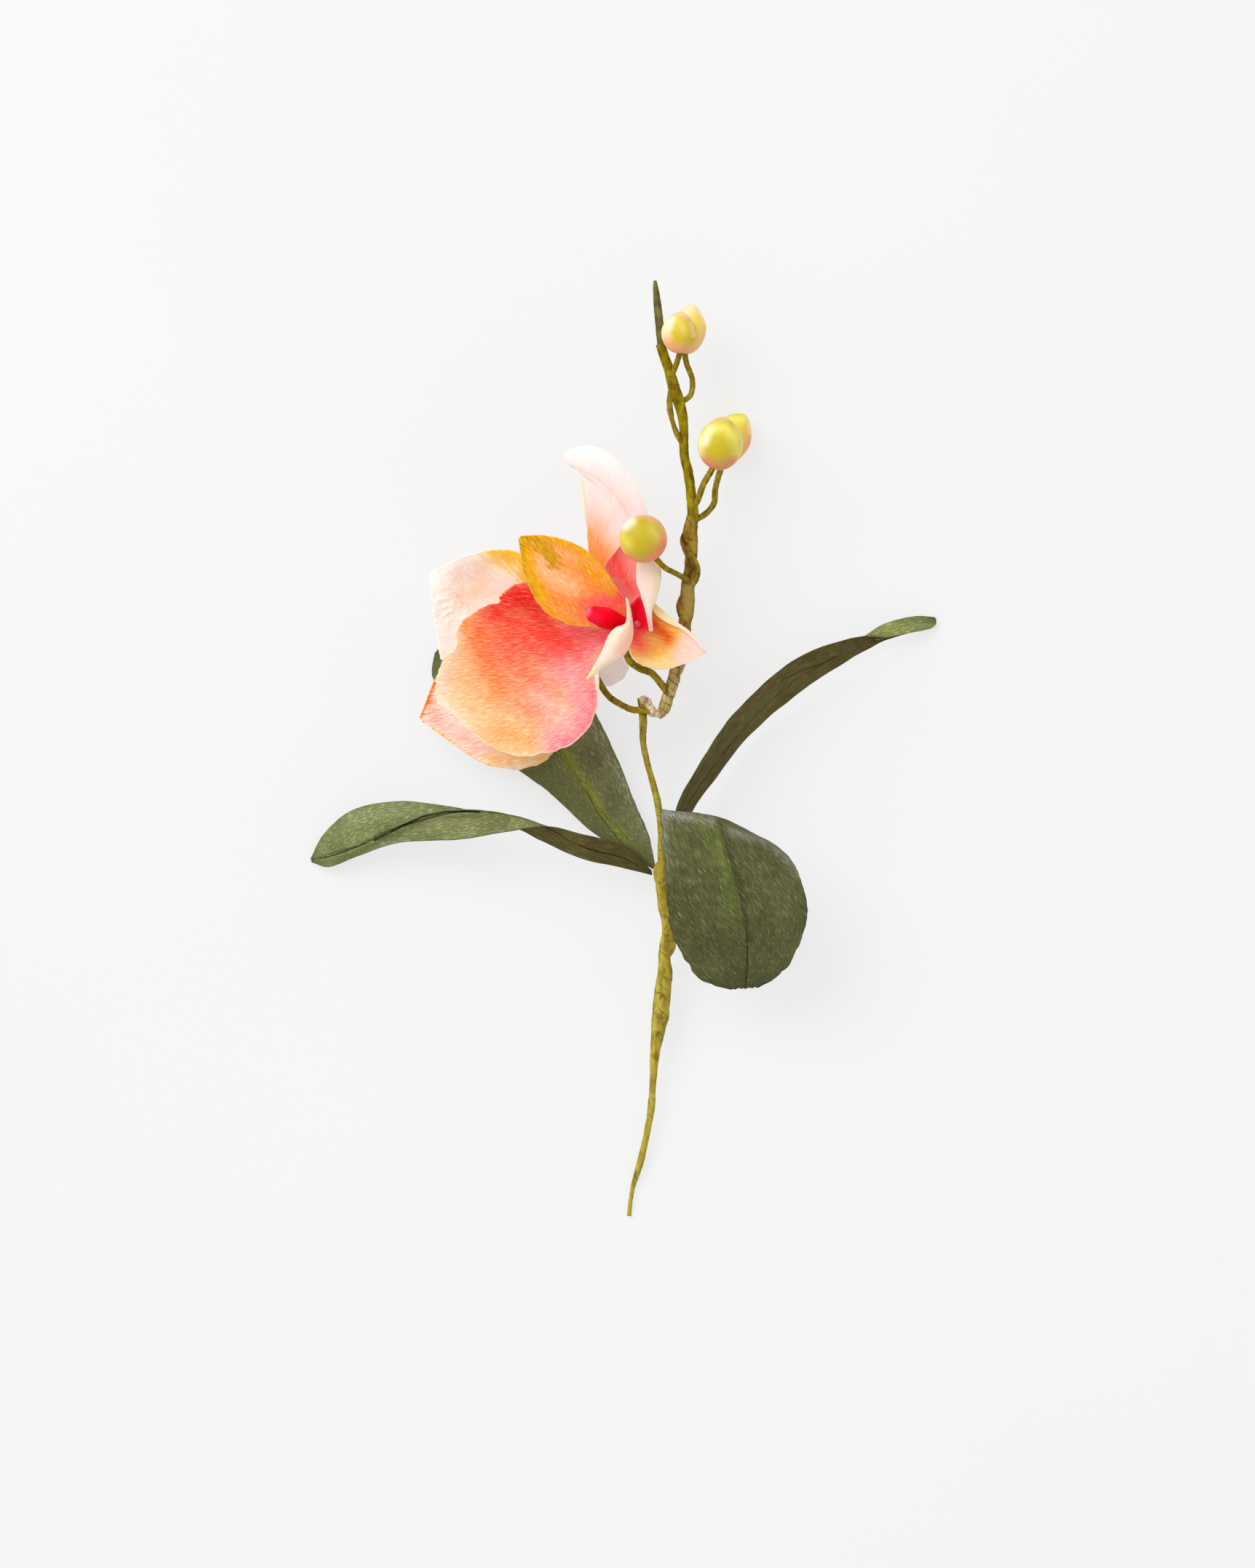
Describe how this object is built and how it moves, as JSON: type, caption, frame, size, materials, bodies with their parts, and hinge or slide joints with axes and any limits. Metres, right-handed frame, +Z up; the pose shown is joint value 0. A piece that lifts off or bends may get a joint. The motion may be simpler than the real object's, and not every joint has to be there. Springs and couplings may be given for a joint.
{
  "type": "moth orchid stem",
  "caption": "Cut moth orchid stem in crepe paper, lying down: taped wire stem with a kink, moth-shaped blooms, round buds on stalks and long strap leaves.",
  "frame": {"origin": "centre of the bounding box on the surface that the stem lies on", "axes": "+Y along the stem from its cut end to its tip, +Z up from the surface, +X to the right of the blooms"},
  "size_m": [0.2165, 0.3225, 0.065],
  "materials": {
    "stem_tape": "matt olive paper tape wound over wire",
    "dark_tape": "matt dark green paper tape",
    "bud": "satin yellow green with a pink flush",
    "leaf": "matt grey green crepe paper",
    "petal_pink": "matt dyed crepe paper, red to cream",
    "petal_apricot": "matt dyed crepe paper, orange with olive margins",
    "petal_cream": "matt dyed crepe paper, cream to pale pink",
    "column_red": "satin crimson"
  },
  "bodies": {
    "root": {"stem": "stem_tape", "stem_tip": "dark_tape", "bud_near": "bud", "bud_middle": "bud", "bud_middle_back": "bud", "bud_top": "bud", "bud_top_back": "bud", "leaf_left": "leaf", "leaf_back": "leaf", "leaf_right": "leaf", "leaf_front": "leaf", "front_petal_left": "petal_pink", "front_petal_right": "petal_pink", "front_sepal_top": "petal_apricot", "front_sepal_right": "petal_apricot", "front_sepal_left": "petal_cream", "front_lip": "petal_cream", "front_column": "column_red", "back_petal_left": "petal_cream", "back_petal_top": "petal_cream", "back_sepal_left": "petal_cream", "back_sepal_right": "petal_cream", "back_lip": "petal_cream", "back_column": "column_red"}
  },
  "joints": []
}
